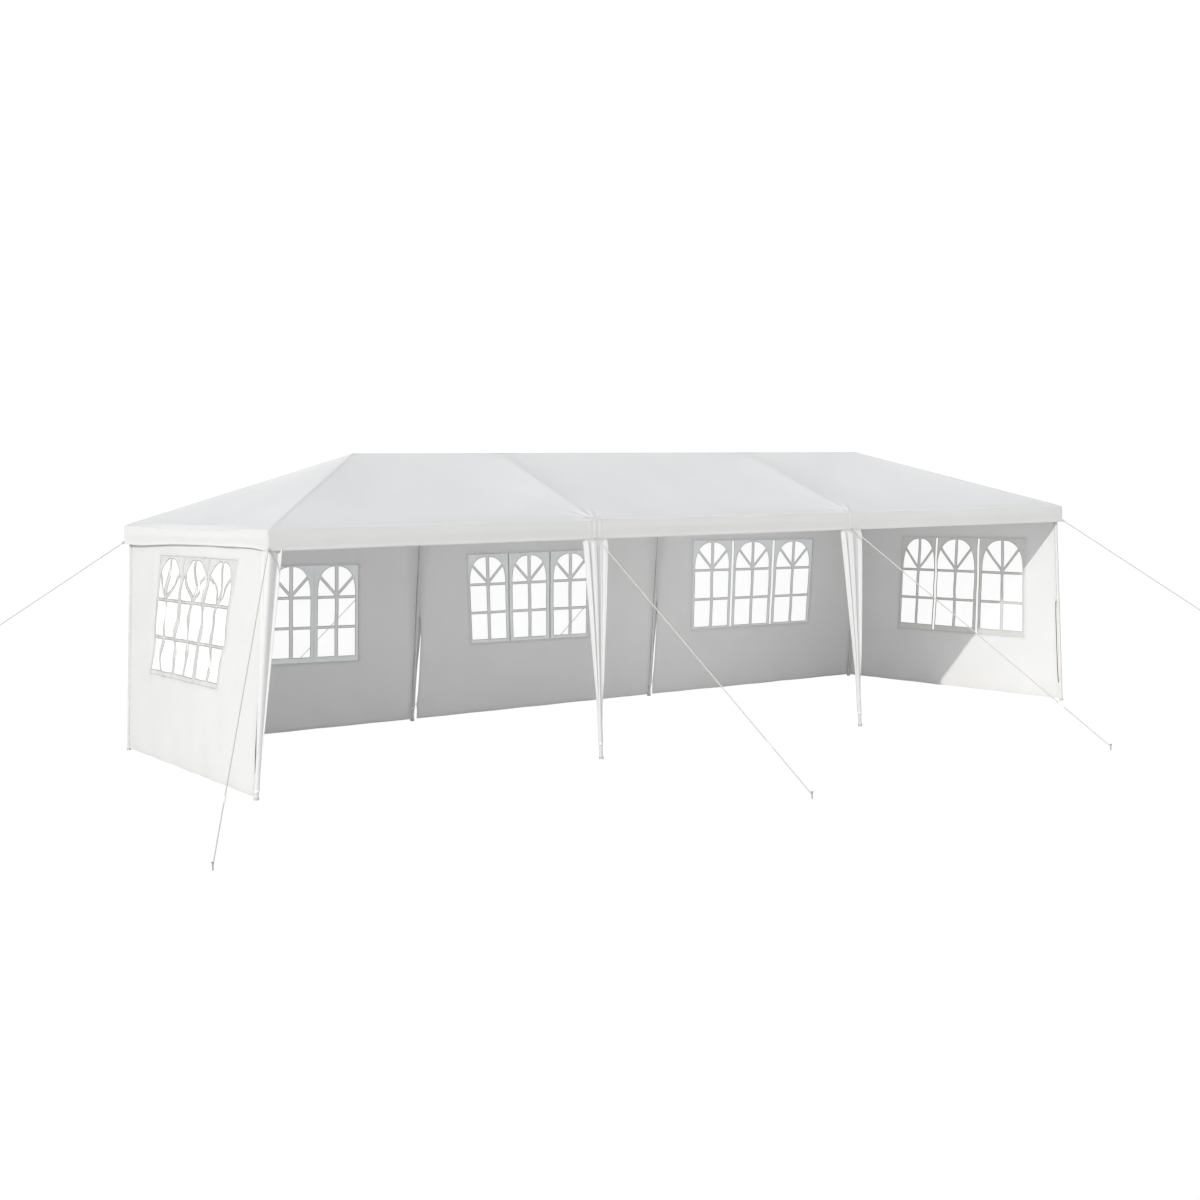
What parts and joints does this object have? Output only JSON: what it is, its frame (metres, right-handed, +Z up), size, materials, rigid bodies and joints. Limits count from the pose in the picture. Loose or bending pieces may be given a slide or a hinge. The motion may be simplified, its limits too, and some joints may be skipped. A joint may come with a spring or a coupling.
{
  "type": "marquee tent",
  "caption": "White party marquee with a hipped sheet cover, valance, splayed tube legs, open front, side walls with arched clear windows, leg curtains and guy ropes on ground pegs.",
  "frame": {"origin": "on the ground, in the middle of the plan of the whole part with its guy ropes", "axes": "+X along the ridge, -Y towards the open front, +Z up"},
  "size_m": [14.102, 8.401, 2.6599],
  "materials": {
    "steel": "white powder coat",
    "cover": "white woven sheet",
    "wall": "white woven sheet",
    "window": "soft clear film",
    "rope": "braided white cord"
  },
  "bodies": {
    "root": {"leg_front_left": "steel", "leg_front_mid_left": "steel", "leg_front_mid_right": "steel", "leg_front_right": "steel", "leg_back_left": "steel", "leg_back_mid_left": "steel", "leg_back_mid_right": "steel", "leg_back_right": "steel", "eave_rail_front": "steel", "eave_rail_back": "steel", "eave_rail_left": "steel", "eave_rail_right": "steel", "ridge_pole": "steel", "hip_rafter_front_left": "steel", "hip_rafter_front_right": "steel", "hip_rafter_back_left": "steel", "hip_rafter_back_right": "steel", "mid_rafter_front_left": "steel", "mid_rafter_front_right": "steel", "mid_rafter_back_left": "steel", "mid_rafter_back_right": "steel", "cover_panel_front": "cover", "cover_panel_back": "cover", "cover_panel_left": "cover", "cover_panel_right": "cover", "valance_front": "cover", "valance_back": "cover", "valance_left": "cover", "valance_right": "cover", "leg_curtain_front_left": "cover", "leg_curtain_front_mid_left": "cover", "leg_curtain_front_mid_right": "cover", "leg_curtain_back_right": "cover", "leg_curtain_back_mid_right": "cover", "leg_curtain_back_mid_left": "cover", "wall_left": "wall", "wall_back_left": "wall", "wall_back_middle": "wall", "wall_back_right": "wall", "wall_right": "wall", "window_left": "window", "window_back_left": "window", "window_back_middle": "window", "window_back_right": "window", "window_right": "window", "guy_rope_front_left": "rope", "guy_rope_front_mid_left": "rope", "guy_rope_front_mid_right": "rope", "guy_rope_front_right": "rope", "guy_rope_back_left": "rope", "guy_rope_back_mid_left": "rope", "guy_rope_back_mid_right": "rope", "guy_rope_back_right": "rope"}
  },
  "joints": []
}
